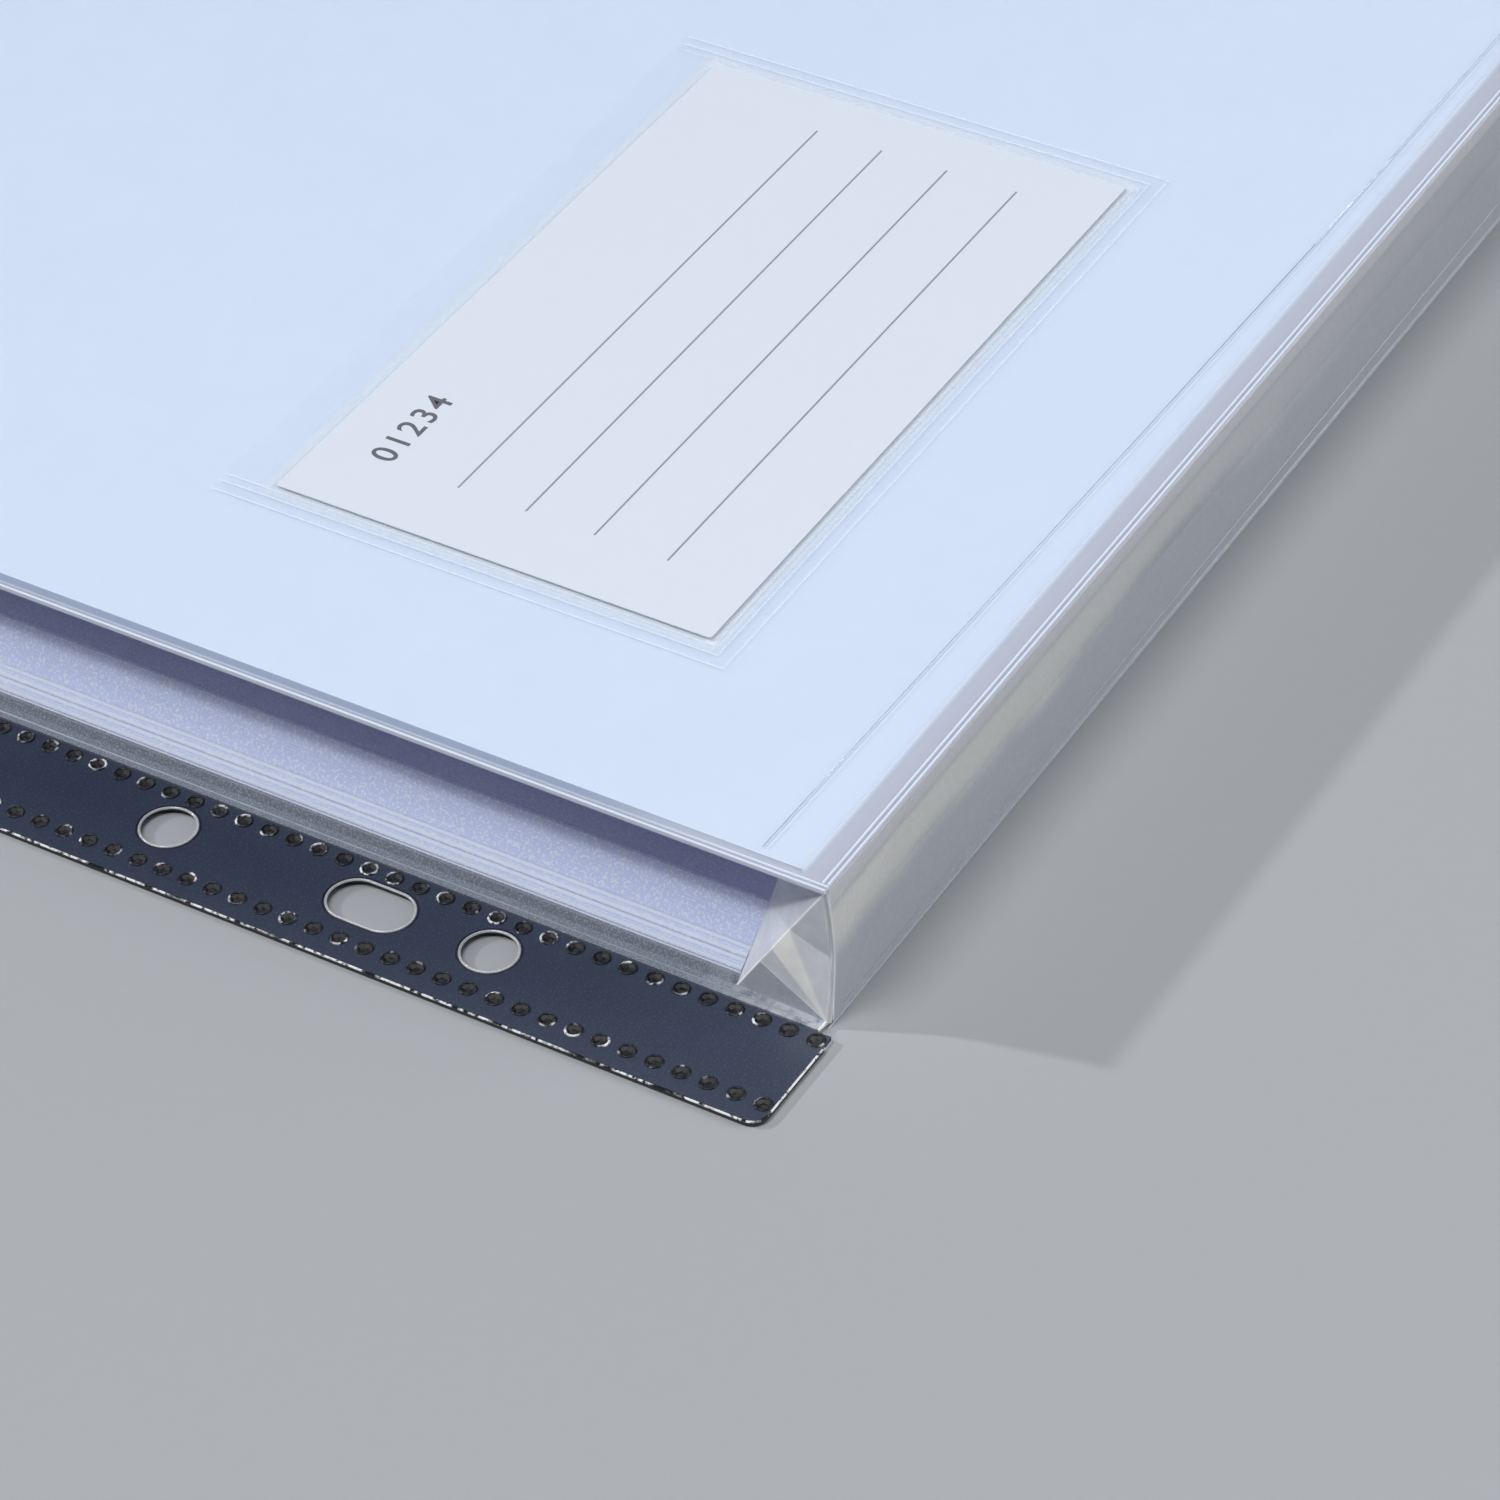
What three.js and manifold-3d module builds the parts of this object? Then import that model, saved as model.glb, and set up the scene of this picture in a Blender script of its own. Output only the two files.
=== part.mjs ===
// Clear expanding document pocket with a punched binding strip, a label pocket and a snap flap,
// holding a stack of pale blue paper.
// Sizes are millimetres. X leads away from the binding, Y leads up the pocket to its mouth, Z is up.
// The drawing origin is the corner where the binding fold meets the bottom fold, on the table.
import * as THREE from 'three';
import { mergeVertices, mergeGeometries } from 'three/addons/utils/BufferGeometryUtils.js';
import Module from 'manifold-3d';

// Sheets that the pocket holds, and its room round them
const paperWidth = 210;
const paperLength = 297;
const sideRoom = 12;
const mouthRoom = 12;

// Pocket body
const bodyWidth = paperWidth + sideRoom;
const bodyLength = paperLength + mouthRoom;
const bodyHeight = 15.3;
const film = 0.3;
const layerGap = 0.05;
const flatness = 0.0005;

// Weld beads pressed into the front panel beside its edges
const beadWidth = 0.3;
const beadHeight = 0.08;
const beadInset = 0.02;
const beadSpacing = 0.5;

// Side gussets, creased inwards half way up
const weldInset = 0.2;
const topFold = 1.8;
const spineFootFold = 0.5;
const spineFlangeReach = 1.0;
const farFootFold = 1.2;
const creaseDepth = 4;
const creaseHeight = 7.65;

// Folded corner, where a side gusset is tucked in and pleated round the bottom corner
const tuckAtTop = 5;
const tuckAtCrease = 7.8;
const tuckAtFoot = 9.1;
const cornerDent = 1.1;
const cornerDentHeight = 6.8;
const cornerInset = 0.35;
const pleatPlaces = [0.42, 0.59, 0.767];
const pleatDepths = [0.55, 0, 0.5];

// Bottom gusset
const bottomCrease = 1;
const bottomBand = 2.4;
const bottomBandDepth = 0.3;
const bottomEndRun = 12;
const bottomEndGap = 0.6;

// Binding margin: clear backing film, and the navy film that is spot welded on it
const marginWidth = 13;
const marginCorner = 1.7;
const stripOverhang = 1;
const stripEndGap = 9.2;
const stripLength = stripOverhang + bodyLength - stripEndGap;
const stripTop = stripLength - stripOverhang;
const stripMiddle = stripTop - stripLength / 2;
const stripThickness = 0.35;
const stripRim = 0.05;
const stripEdge = 1.2;
const panelTongue = 2.4;

// Ring holes, measured from the middle of the strip
const holeLine = 6;
const holeDiameter = 5.8;
const slotLength = 8.9;
const roundHolePlaces = [0, 56, 87, 120];
const slotPlaces = [37.5, 108];
const holeSteps = 8;
const cornerSteps = 6;

// Weld spots in two rows
const spotPitch = 2.6;
const spotRadius = 0.72;
const spotFloorRadius = 0.42;
const spotDepth = 0.24;
const spotSides = 6;
const innerSpotRow = 2.15;
const outerSpotRow = 10.7;
const spotStart = 0.85;

// Label card and the pocket that is welded round it
const cardWidth = 76;
const cardLength = 45;
const cardThickness = 0.22;
const cardLeft = 23.2;
const cardBottom = 24.65;
const cardClearance = 0.4;
const cardLift = 0.06;
const pocketFilm = 0.12;
const pocketWeld = 2.7;
const pocketReach = 5;
const pocketCorner = 1.8;
const pocketBead = 0.25;
const pocketBeadHeight = 0.08;
const pocketBeadPlaces = [0.15, 1.4];

// Flap: a bridge over the mouth, and a lid that comes down on the front panel
const creaseGap = 0.3;
const flapInset = 2;
const lidLength = 78;
const lidTaper = 9;
const lidCorner = 16;
const lidSteps = 10;
const lidClearance = 0.15;
const scoreDepth = 0.12;
const scoreWidth = 0.5;
const scoreSpacing = 3.6;

// Snap button, in the middle of the flap
const snapFromCrease = 56;
const capRadius = 6.2;
const capHeight = 1.1;
const capRim = 0.3;
const socketRadius = 5.5;
const socketHeight = 2.2;
const socketFloor = 0.7;
const socketLip = 0.35;
const knobRadius = 2.25;
const knobWaist = 1.95;
const knobHeight = 1.6;
const knobBulge = 0.6;
const studBase = 0.8;
const studRadius = 5.3;
const postRadius = 1.1;
const postClearance = 0.1;
const knobClearance = 0.3;
const snapGap = 0.5;
const rivetHead = 0.5;
const rivetRadius = 5.8;
const roundSteps = 40;
const domeSteps = 8;

// Paper: loose thin sheets at the foot, reams above them and one cover sheet
const paperClearance = 0.15;
const thinSheets = 6;
const thinSheet = 0.5;
const thinSheetStep = 0.12;
const lowerReams = 2;
const upperReams = 3;
const coverSheet = 0.2;
const paperTopGap = 0.75;
const paperBottomAtTop = 2.4;
const paperBottomAtCrease = 7.9;
const paperBottomAtFoot = 9.5;

const wasm = await Module();
wasm.setup();

// Heights that follow from the sizes above
const panelUnderside = bodyHeight - film;
const topFlangeHeight = panelUnderside - layerGap - film;
const footFlangeHeight = film + layerGap + film;
const hingeHeight = film / 2;
const lidHingeHeight = bodyHeight + lidClearance + film / 2;

// Solids and geometries, to and fro
function solidOf(geometry) {
  const bare = geometry.clone();
  bare.deleteAttribute('normal');
  bare.deleteAttribute('uv');
  const merged = mergeVertices(bare, 1e-5);
  const vertProperties = new Float32Array(merged.attributes.position.array);
  const triVerts = new Uint32Array(merged.index.array);
  return new wasm.Manifold(new wasm.Mesh({ numProp: 3, vertProperties, triVerts }));
}

function geometryOf(solid) {
  const mesh = solid.getMesh();
  const geometry = new THREE.BufferGeometry();
  geometry.setAttribute('position', new THREE.BufferAttribute(mesh.vertProperties, 3));
  geometry.setIndex(new THREE.BufferAttribute(mesh.triVerts, 1));
  geometry.computeVertexNormals();
  return geometry;
}

function joined(first, ...others) {
  return geometryOf(others.reduce((solid, other) => solid.add(solidOf(other)), solidOf(first)));
}

// What is left of a body after cuts, without corners that lie on a straight edge or a flat face
function cutBy(body, ...tools) {
  const rest = tools.reduce((solid, tool) => solid.subtract(solidOf(tool)), solidOf(body));
  return geometryOf(rest.simplify(flatness));
}

// A closed outline from corners given as [x, y, corner radius]
function outline(corners) {
  const shape = new THREE.Shape();
  const count = corners.length;
  corners.forEach(([x, y, radius], i) => {
    const corner = new THREE.Vector2(x, y);
    const before = new THREE.Vector2(...corners[(i + count - 1) % count]).sub(corner).setLength(radius);
    const after = new THREE.Vector2(...corners[(i + 1) % count]).sub(corner).setLength(radius);
    const start = corner.clone().add(before);
    const end = corner.clone().add(after);
    if (i === 0) {
      shape.moveTo(start.x, start.y);
    } else {
      shape.lineTo(start.x, start.y);
    }
    if (radius > 0) {
      shape.quadraticCurveTo(x, y, end.x, end.y);
    }
  });
  shape.closePath();
  return shape;
}

// A rectangle with one radius for its two left corners and one for its two right corners
function rectangle(left, bottom, right, top, leftRadius = 0, rightRadius = leftRadius) {
  return outline([
    [left, bottom, leftRadius],
    [right, bottom, rightRadius],
    [right, top, rightRadius],
    [left, top, leftRadius],
  ]);
}

// A flat layer of a shape, from one height to another
function layer(shape, low, high, steps = cornerSteps) {
  const options = { depth: high - low, bevelEnabled: false, curveSegments: steps };
  return new THREE.ExtrudeGeometry(shape, options).translate(0, 0, low);
}

function disc(radius, x, y) {
  return new THREE.Shape().absarc(x, y, radius, 0, Math.PI * 2);
}

// A turned piece whose profile of [radius, height] closes on itself or on the axis
function turned(profile) {
  const points = profile.map(([radius, height]) => new THREE.Vector2(radius, height));
  return new THREE.LatheGeometry(points, roundSteps).rotateX(Math.PI / 2);
}

// The inward shift at a point of a folded sheet that keeps the film's thickness on every face there:
// the damped least-squares answer to normal . shift = -thickness
function inwardShift(normals, thickness) {
  const damping = 1e-4;
  const m = new THREE.Matrix3().set(damping, 0, 0, 0, damping, 0, 0, 0, damping);
  const right = new THREE.Vector3();
  normals.forEach((n) => {
    const part = [n.x * n.x, n.x * n.y, n.x * n.z, n.y * n.x, n.y * n.y, n.y * n.z, n.z * n.x, n.z * n.y, n.z * n.z];
    part.forEach((value, i) => {
      m.elements[i] += value;
    });
    right.addScaledVector(n, -thickness);
  });
  return right.applyMatrix3(m.invert());
}

// A folded sheet of film. Points are named and lie on its outer side, and each face is a list of
// names, counter-clockwise seen from outside. The inner side is shifted by the film's thickness.
function foldedSheet(points, faces, thickness) {
  const names = Object.keys(points);
  const outer = names.map((name) => new THREE.Vector3(...points[name]));
  const triangles = faces.flatMap((face) => {
    const corners = face.map((name) => names.indexOf(name));
    return corners.slice(2).map((corner, i) => [corners[0], corners[i + 1], corner]);
  });
  const normals = outer.map(() => []);
  triangles.forEach((triangle) => {
    const [a, b, c] = triangle.map((i) => outer[i]);
    const normal = new THREE.Triangle(a, b, c).getNormal(new THREE.Vector3());
    triangle.forEach((i) => normals[i].push(normal));
  });
  const inner = outer.map((point, i) => point.clone().add(inwardShift(normals[i], thickness)));
  const edges = new Set(triangles.flatMap(([a, b, c]) => [`${a} ${b}`, `${b} ${c}`, `${c} ${a}`]));
  const count = outer.length;
  const index = triangles.flatMap(([a, b, c]) => [a, b, c, c + count, b + count, a + count]);
  edges.forEach((edge) => {
    const [a, b] = edge.split(' ').map(Number);
    if (!edges.has(`${b} ${a}`)) {
      index.push(b, a, a + count, b, a + count, b + count);
    }
  });
  const geometry = new THREE.BufferGeometry().setFromPoints([...outer, ...inner]);
  geometry.setIndex(index);
  geometry.computeVertexNormals();
  return geometry;
}

// A folded sheet turned over from the binding side to the far side
function mirrored(points, faces) {
  const over = Object.entries(points).map(([name, [x, y, z]]) => [name, [bodyWidth - x, y, z]]);
  return [Object.fromEntries(over), faces.map((face) => [...face].reverse())];
}

// Ring holes as [place along the strip, length of the hole]
function ringHoles() {
  const list = [];
  const addPair = (place, length) => {
    list.push([stripMiddle + place, length]);
    if (place > 0) {
      list.push([stripMiddle - place, length]);
    }
  };
  roundHolePlaces.forEach((place) => addPair(place, holeDiameter));
  slotPlaces.forEach((place) => addPair(place, slotLength));
  return list;
}

// The outline of one ring hole: two half circles, drawn apart for a slot
function ringHoleOutline([place, length]) {
  const radius = holeDiameter / 2;
  const half = (length - holeDiameter) / 2;
  const hole = new THREE.Path();
  hole.absarc(-holeLine, place + half, radius, 0, Math.PI, false);
  hole.absarc(-holeLine, place - half, radius, Math.PI, Math.PI * 2, false);
  return hole;
}

function punched(shape) {
  shape.holes.push(...ringHoles().map(ringHoleOutline));
  return shape;
}

// Back panel, with a tongue along the binding that the navy film is welded to
function backPanel() {
  const mouth = bodyLength - creaseGap;
  return layer(outline([
    [-panelTongue, -stripOverhang, 0],
    [-stripEdge, -stripOverhang, 0],
    [0, 0, 0],
    [bodyWidth, 0, 0],
    [bodyWidth, mouth, 0],
    [0, mouth, 0],
    [0, stripTop, 0],
    [-panelTongue, stripTop, 0],
  ]), 0, film);
}

// Clear backing film under the navy strip
function bindingBacking() {
  const inner = -panelTongue - layerGap;
  const shape = rectangle(-marginWidth, -stripOverhang, inner, stripTop, marginCorner, 0);
  return layer(punched(shape), 0, film, holeSteps);
}

// One row of weld spots: six-sided pits that are wide at the top
function spotRow(distance) {
  const count = Math.floor((stripLength - 2 * spotStart) / spotPitch) + 1;
  const first = stripMiddle - (count - 1) * spotPitch / 2;
  const surface = film + stripThickness;
  const rise = 2 * spotRadius - spotFloorRadius;
  return Array.from({ length: count }, (_, i) => {
    const pit = new THREE.CylinderGeometry(rise, spotFloorRadius, spotDepth * 2, spotSides);
    pit.rotateX(Math.PI / 2);
    return pit.translate(-distance, first + i * spotPitch, surface);
  });
}

// Navy binding strip with its ring holes and two rows of weld spots
function bindingStrip() {
  const left = stripRim - marginWidth;
  const bottom = stripRim - stripOverhang;
  const shape = rectangle(left, bottom, -stripEdge, stripTop - stripRim, marginCorner - stripRim, 0);
  const body = layer(punched(shape), film, film + stripThickness, holeSteps);
  const pits = [...spotRow(innerSpotRow), ...spotRow(outerSpotRow)];
  return cutBy(body, mergeGeometries(pits));
}

// A straight weld bead with a flat top and sloped sides, along X or along Y
function bead(from, to, height) {
  const run = new THREE.Vector2(...to).sub(new THREE.Vector2(...from));
  const section = outline([
    [-beadWidth / 2, -layerGap, 0],
    [beadWidth / 2, -layerGap, 0],
    [beadWidth / 4, beadHeight, 0],
    [-beadWidth / 4, beadHeight, 0],
  ]);
  const rib = new THREE.ExtrudeGeometry(section, { depth: run.length(), bevelEnabled: false });
  rib.rotateX(Math.PI / 2);
  rib.rotateZ(run.angle() + Math.PI / 2);
  return rib.translate(from[0], from[1], height);
}

// Front panel, with two weld beads beside each welded edge and a hole for the snap
function frontPanel() {
  const mouth = bodyLength - creaseGap - film;
  const shape = rectangle(0, 0, bodyWidth, mouth);
  shape.holes.push(disc(postRadius + postClearance, bodyWidth / 2, snapPlace()));
  const past = beadInset + beadSpacing + beadWidth + layerGap;
  const beads = [beadInset, beadInset + beadSpacing].flatMap((inset) => {
    const near = inset + beadWidth / 2;
    const far = bodyWidth - near;
    const stop = bodyLength - lidLength;
    return [
      bead([near, beadInset], [near, stop], bodyHeight),
      bead([far, beadInset], [far, stop], bodyHeight),
      bead([past, near], [bodyWidth - past, near], bodyHeight),
    ];
  });
  return joined(layer(shape, panelUnderside, bodyHeight), ...beads);
}

// The snap stands under the lid, where the lid's slope brings the socket over the stud
function snapRise() {
  return bodyHeight + layerGap + studBase + snapGap + socketHeight + layerGap + film / 2 - lidHingeHeight;
}

function lidTilt() {
  return Math.asin(snapRise() / snapFromCrease);
}

function snapPlace() {
  return bodyLength - snapFromCrease * Math.cos(lidTilt());
}

// A side gusset of one piece of film: welded flanges, two halves that crease inwards, and at the
// bottom the tuck and the pleats that bring it round the corner
function sideGusset(footFold, flangeEnd) {
  const mouth = bodyLength - creaseGap - film;
  const tip = [weldInset, cornerInset, topFlangeHeight];
  const footEnd = [footFold, tuckAtFoot, footFlangeHeight];
  const apex = [weldInset, cornerInset, footFlangeHeight];
  const pleat = (i) => {
    const point = new THREE.Vector3(...tip).lerp(new THREE.Vector3(...footEnd), pleatPlaces[i]);
    return [point.x + pleatDepths[i], point.y, point.z];
  };
  const points = {
    tip,
    apex,
    footEnd,
    dent: [weldInset + cornerDent, cornerInset, cornerDentHeight],
    pleat0: pleat(0),
    pleat1: pleat(1),
    pleat2: pleat(2),
    tuckTop: [topFold, tuckAtTop, topFlangeHeight],
    tuckCrease: [creaseDepth, tuckAtCrease, creaseHeight],
    flangeTopMouth: [weldInset, mouth, topFlangeHeight],
    foldTopMouth: [topFold, mouth, topFlangeHeight],
    creaseMouth: [creaseDepth, mouth, creaseHeight],
    foldFootMouth: [footFold, mouth, footFlangeHeight],
    flangeFootMouth: [flangeEnd, mouth, footFlangeHeight],
    flangeFootCorner: [flangeEnd, cornerInset, footFlangeHeight],
  };
  const faces = [
    ['flangeTopMouth', 'foldTopMouth', 'tuckTop', 'tip'],
    ['foldTopMouth', 'creaseMouth', 'tuckCrease', 'tuckTop'],
    ['creaseMouth', 'foldFootMouth', 'footEnd', 'tuckCrease'],
    ['foldFootMouth', 'flangeFootMouth', 'flangeFootCorner', 'apex', 'footEnd'],
    ['tuckTop', 'tuckCrease', 'tip'],
    ['tuckCrease', 'pleat0', 'tip'],
    ['tuckCrease', 'pleat1', 'pleat0'],
    ['tuckCrease', 'pleat2', 'pleat1'],
    ['tuckCrease', 'footEnd', 'pleat2'],
    ['pleat0', 'dent', 'tip'],
    ['pleat0', 'apex', 'dent'],
    ['pleat1', 'apex', 'pleat0'],
    ['pleat2', 'apex', 'pleat1'],
    ['footEnd', 'apex', 'pleat2'],
  ];
  return [points, faces];
}

// Bottom gusset: a pressed band under its top edge and a shallow crease half way up
function bottomGusset() {
  const low = film + layerGap;
  const high = panelUnderside - layerGap;
  const near = weldInset + bottomEndGap;
  const dent = near + cornerDent;
  const run = near + bottomEndRun;
  const band = high - bottomBand;
  const rows = {
    top: [[near, 0, high], [run, 0, high]],
    band: [[near, 0, high - bottomBand / 2], [run, bottomBandDepth, band]],
    crease: [[dent, cornerInset, cornerDentHeight], [run, bottomCrease, cornerDentHeight]],
    foot: [[near, 0, low], [run, 0, low]],
  };
  const points = {};
  const names = Object.keys(rows);
  names.forEach((name) => {
    const [end, inner] = rows[name];
    points[`${name}0`] = end;
    points[`${name}1`] = inner;
    points[`${name}2`] = [bodyWidth - inner[0], inner[1], inner[2]];
    points[`${name}3`] = [bodyWidth - end[0], end[1], end[2]];
  });
  const faces = names.slice(1).flatMap((name, row) => [0, 1, 2].map((column) => {
    const above = names[row];
    return [`${name}${column}`, `${name}${column + 1}`, `${above}${column + 1}`, `${above}${column}`];
  }));
  return foldedSheet(points, faces, film);
}

// Label pocket: a welded flange with two beads, and a roof raised over the card, open at the top
function labelPocket() {
  const left = cardLeft - cardClearance;
  const right = cardLeft + cardWidth + cardClearance;
  const bottom = cardBottom - cardClearance;
  const top = cardBottom + cardLength + pocketReach;
  const roof = bodyHeight + cardThickness + 2 * cardLift;
  const frame = (inset) => rectangle(
    left - pocketWeld + inset,
    bottom - pocketWeld + inset,
    right + pocketWeld - inset,
    top - inset,
    pocketCorner - inset,
  );
  const flange = layer(frame(0), bodyHeight + layerGap, bodyHeight + layerGap + pocketFilm);
  const hood = layer(
    rectangle(left - pocketFilm, bottom - pocketFilm, right + pocketFilm, top),
    bodyHeight + layerGap,
    roof + pocketFilm,
  );
  const beads = pocketBeadPlaces.map((place) => {
    const ring = frame(place);
    ring.holes.push(frame(place + pocketBead));
    return layer(ring, bodyHeight + pocketFilm, bodyHeight + layerGap + pocketFilm + pocketBeadHeight);
  });
  const slot = layer(rectangle(left, bottom, right, top + pocketReach), bodyHeight - film, roof);
  return cutBy(joined(flange, hood, ...beads), slot);
}

function labelCard() {
  const low = bodyHeight + cardLift;
  const shape = rectangle(cardLeft, cardBottom, cardLeft + cardWidth, cardBottom + cardLength, cardClearance);
  return layer(shape, low, low + cardThickness);
}

// Flap bridge: an upright film between its two creases, scored on the outside so that it can bulge
function flapBridge() {
  const low = creaseGap;
  const high = lidHingeHeight - hingeHeight - creaseGap;
  const middle = (low + high) / 2;
  const half = film / 2;
  const profile = [[-half, low, 0], [half, low, 0]];
  [-1, 0, 1].forEach((step) => {
    const score = middle + step * scoreSpacing;
    profile.push(
      [half, score - scoreWidth / 2, 0],
      [half - scoreDepth, score, 0],
      [half, score + scoreWidth / 2, 0],
    );
  });
  profile.push([half, high, 0], [-half, high, 0]);
  const width = bodyWidth - 2 * flapInset;
  const bridge = new THREE.ExtrudeGeometry(outline(profile), { depth: width, bevelEnabled: false });
  return bridge.rotateY(Math.PI / 2).rotateX(Math.PI / 2).translate(flapInset, 0, 0);
}

// Flap lid, drawn from its crease down, with drawn-in sides and round corners
function flapLid() {
  const half = bodyWidth / 2 - flapInset;
  const shape = outline([
    [-half, -creaseGap, 0],
    [-half + lidTaper, -lidLength, lidCorner],
    [half - lidTaper, -lidLength, lidCorner],
    [half, -creaseGap, 0],
  ]);
  shape.holes.push(disc(postRadius + postClearance, 0, -snapFromCrease));
  return layer(shape, -film / 2, film / 2, lidSteps);
}

// Snap cap: a domed head on the lid, with a post through the film
function snapCap() {
  const seat = film / 2 + layerGap;
  const dome = new THREE.EllipseCurve(0, seat + capRim, capRadius, capHeight - capRim, 0, Math.PI / 2);
  const arc = dome.getPoints(domeSteps).map((point) => [Math.max(point.x, 0), point.y]);
  arc[arc.length - 1][0] = 0;
  return turned([
    [0, -seat - socketFloor],
    [postRadius, -seat - socketFloor],
    [postRadius, seat],
    [capRadius - capRim, seat],
    ...arc,
  ]);
}

// Snap socket: a cup under the lid with a lip that grips the stud's knob
function snapSocket() {
  const top = -film / 2 - layerGap;
  const low = top - socketHeight;
  const mouth = knobRadius + knobClearance;
  return turned([
    [postRadius + postClearance, top],
    [postRadius + postClearance, top - socketFloor],
    [mouth + socketLip, top - socketFloor],
    [mouth + socketLip, low + socketLip],
    [mouth, low],
    [socketRadius - socketLip, low],
    [socketRadius, low + socketLip],
    [socketRadius, top],
    [postRadius + postClearance, top],
  ]);
}

// Snap stud: a base on the front panel with a knob that is wider at its head
function snapStud() {
  const low = bodyHeight + layerGap;
  const shoulder = low + studBase;
  const bore = postRadius + postClearance;
  return turned([
    [bore, low],
    [studRadius, low],
    [studRadius, shoulder - socketLip],
    [studRadius - socketLip, shoulder],
    [knobWaist, shoulder],
    [knobRadius, shoulder + knobHeight * knobBulge],
    [knobWaist, shoulder + knobHeight],
    [bore, shoulder + knobHeight],
    [bore, low],
  ]);
}

// Snap rivet: a flat head inside the pocket and a post up through the panel into the stud
function snapRivet() {
  const seat = panelUnderside - layerGap;
  const tip = bodyHeight + studBase + knobHeight / 2;
  return turned([
    [0, seat - rivetHead],
    [rivetRadius - capRim, seat - rivetHead],
    [rivetRadius, seat],
    [postRadius, seat],
    [postRadius, tip],
    [0, tip],
  ]);
}

// Where the paper's near edge and bottom edge lie at a height: its edge follows the gusset's crease
function paperCorner(height) {
  const wall = (low, lowX, high, highX) => {
    const slope = (highX - lowX) / (high - low);
    return lowX + (height - low) * slope + film * Math.hypot(1, slope) + paperClearance;
  };
  const share = (low, lowY, high, highY) => lowY + ((height - low) / (high - low)) * (highY - lowY);
  if (height < creaseHeight) {
    return [
      wall(footFlangeHeight, spineFootFold, creaseHeight, creaseDepth),
      share(0, paperBottomAtFoot, creaseHeight, paperBottomAtCrease),
    ];
  }
  return [
    wall(creaseHeight, creaseDepth, topFlangeHeight, topFold),
    share(creaseHeight, paperBottomAtCrease, bodyHeight, paperBottomAtTop),
  ];
}

// A block of sheets between two heights, leaning so that its edges follow the gusset
function paperBlock(low, high, shift) {
  const block = new THREE.BoxGeometry(paperWidth, paperLength, high - low);
  const place = block.attributes.position;
  for (let i = 0; i < place.count; i += 1) {
    const upper = place.getZ(i) > 0;
    const [nearX, bottomY] = paperCorner(upper ? high : low);
    place.setXYZ(
      i,
      place.getX(i) + paperWidth / 2 + nearX + shift,
      place.getY(i) + paperLength / 2 + bottomY,
      upper ? high : low,
    );
  }
  block.computeVertexNormals();
  return block;
}

// Heights of every block of paper, from the foot up, as [name, low, high, shift]
function paperBlocks() {
  const blocks = [];
  const addRun = (name, count, low, high, shift) => {
    const pitch = (high - low) / count;
    for (let i = 0; i < count; i += 1) {
      const foot = low + i * pitch;
      blocks.push([`${name}_${i + 1}`, foot, foot + pitch - layerGap, shift * (i % 2)]);
    }
  };
  const foot = film + layerGap;
  const thinTop = foot + thinSheets * (thinSheet + layerGap);
  const paperTop = panelUnderside - paperTopGap;
  const coverFoot = paperTop - coverSheet;
  addRun('thin_sheet', thinSheets, foot, thinTop, thinSheetStep);
  addRun('lower_ream', lowerReams, thinTop, creaseHeight, 0);
  addRun('upper_ream', upperReams, creaseHeight, coverFoot, 0);
  blocks.push(['cover_sheet', coverFoot, paperTop, 0]);
  return blocks;
}

// Finishes
const clear = { color: 0xdfe6ee, roughness: 0.2, metalness: 0, transparent: true, opacity: 0.4 };
const frosted = { color: 0xd4d8da, roughness: 0.45, metalness: 0, transparent: true, opacity: 0.55 };
const navy = { color: 0x2b3547, roughness: 0.35, metalness: 0 };
const paper = { color: 0xc3d3f2, roughness: 0.9, metalness: 0 };
const card = { color: 0xe4e8f0, roughness: 0.85, metalness: 0 };

function piece(name, geometry, finish) {
  const mesh = new THREE.Mesh(geometry, new THREE.MeshStandardMaterial(finish));
  mesh.name = name;
  return mesh;
}

const folder = new THREE.Group();
folder.position.set((marginWidth - bodyWidth) / 2, -(bodyLength + film / 2) / 2, 0);

const spineGusset = sideGusset(spineFootFold, -spineFlangeReach);
const farGusset = mirrored(...sideGusset(farFootFold, weldInset));

folder.add(
  piece('back_panel', backPanel(), clear),
  piece('front_panel', frontPanel(), clear),
  piece('spine_gusset', foldedSheet(...spineGusset, film), clear),
  piece('far_gusset', foldedSheet(...farGusset, film), clear),
  piece('bottom_gusset', bottomGusset(), frosted),
  piece('binding_backing', bindingBacking(), clear),
  piece('binding_strip', bindingStrip(), navy),
  piece('label_pocket', labelPocket(), clear),
  piece('label_card', labelCard(), card),
);

paperBlocks().forEach(([name, low, high, shift]) => {
  folder.add(piece(name, paperBlock(low, high, shift), paper));
});

const bridge = new THREE.Group();
bridge.position.set(0, bodyLength, hingeHeight);
bridge.add(piece('flap_bridge', flapBridge(), clear));
folder.add(bridge);

const lid = new THREE.Group();
lid.position.set(bodyWidth / 2, bodyLength, lidHingeHeight);
lid.rotation.x = -lidTilt();
lid.add(piece('flap_lid', flapLid(), clear));
const lidSnap = new THREE.Group();
lidSnap.position.set(0, -snapFromCrease, 0);
lidSnap.add(piece('snap_cap', snapCap(), navy), piece('snap_socket', snapSocket(), navy));
lid.add(lidSnap);
folder.add(lid);

const panelSnap = new THREE.Group();
panelSnap.position.set(bodyWidth / 2, snapPlace(), 0);
panelSnap.add(piece('snap_stud', snapStud(), navy), piece('snap_rivet', snapRivet(), navy));
folder.add(panelSnap);

export default folder;
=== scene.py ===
# %% [markdown]
# # A clear expanding document folder with a snap flap
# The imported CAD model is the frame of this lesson. Most films keep their CAD shape and get a finish.
# What a camera sees close up, such as folds, hole rims, weld spots and creases, is modelled here.

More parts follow.
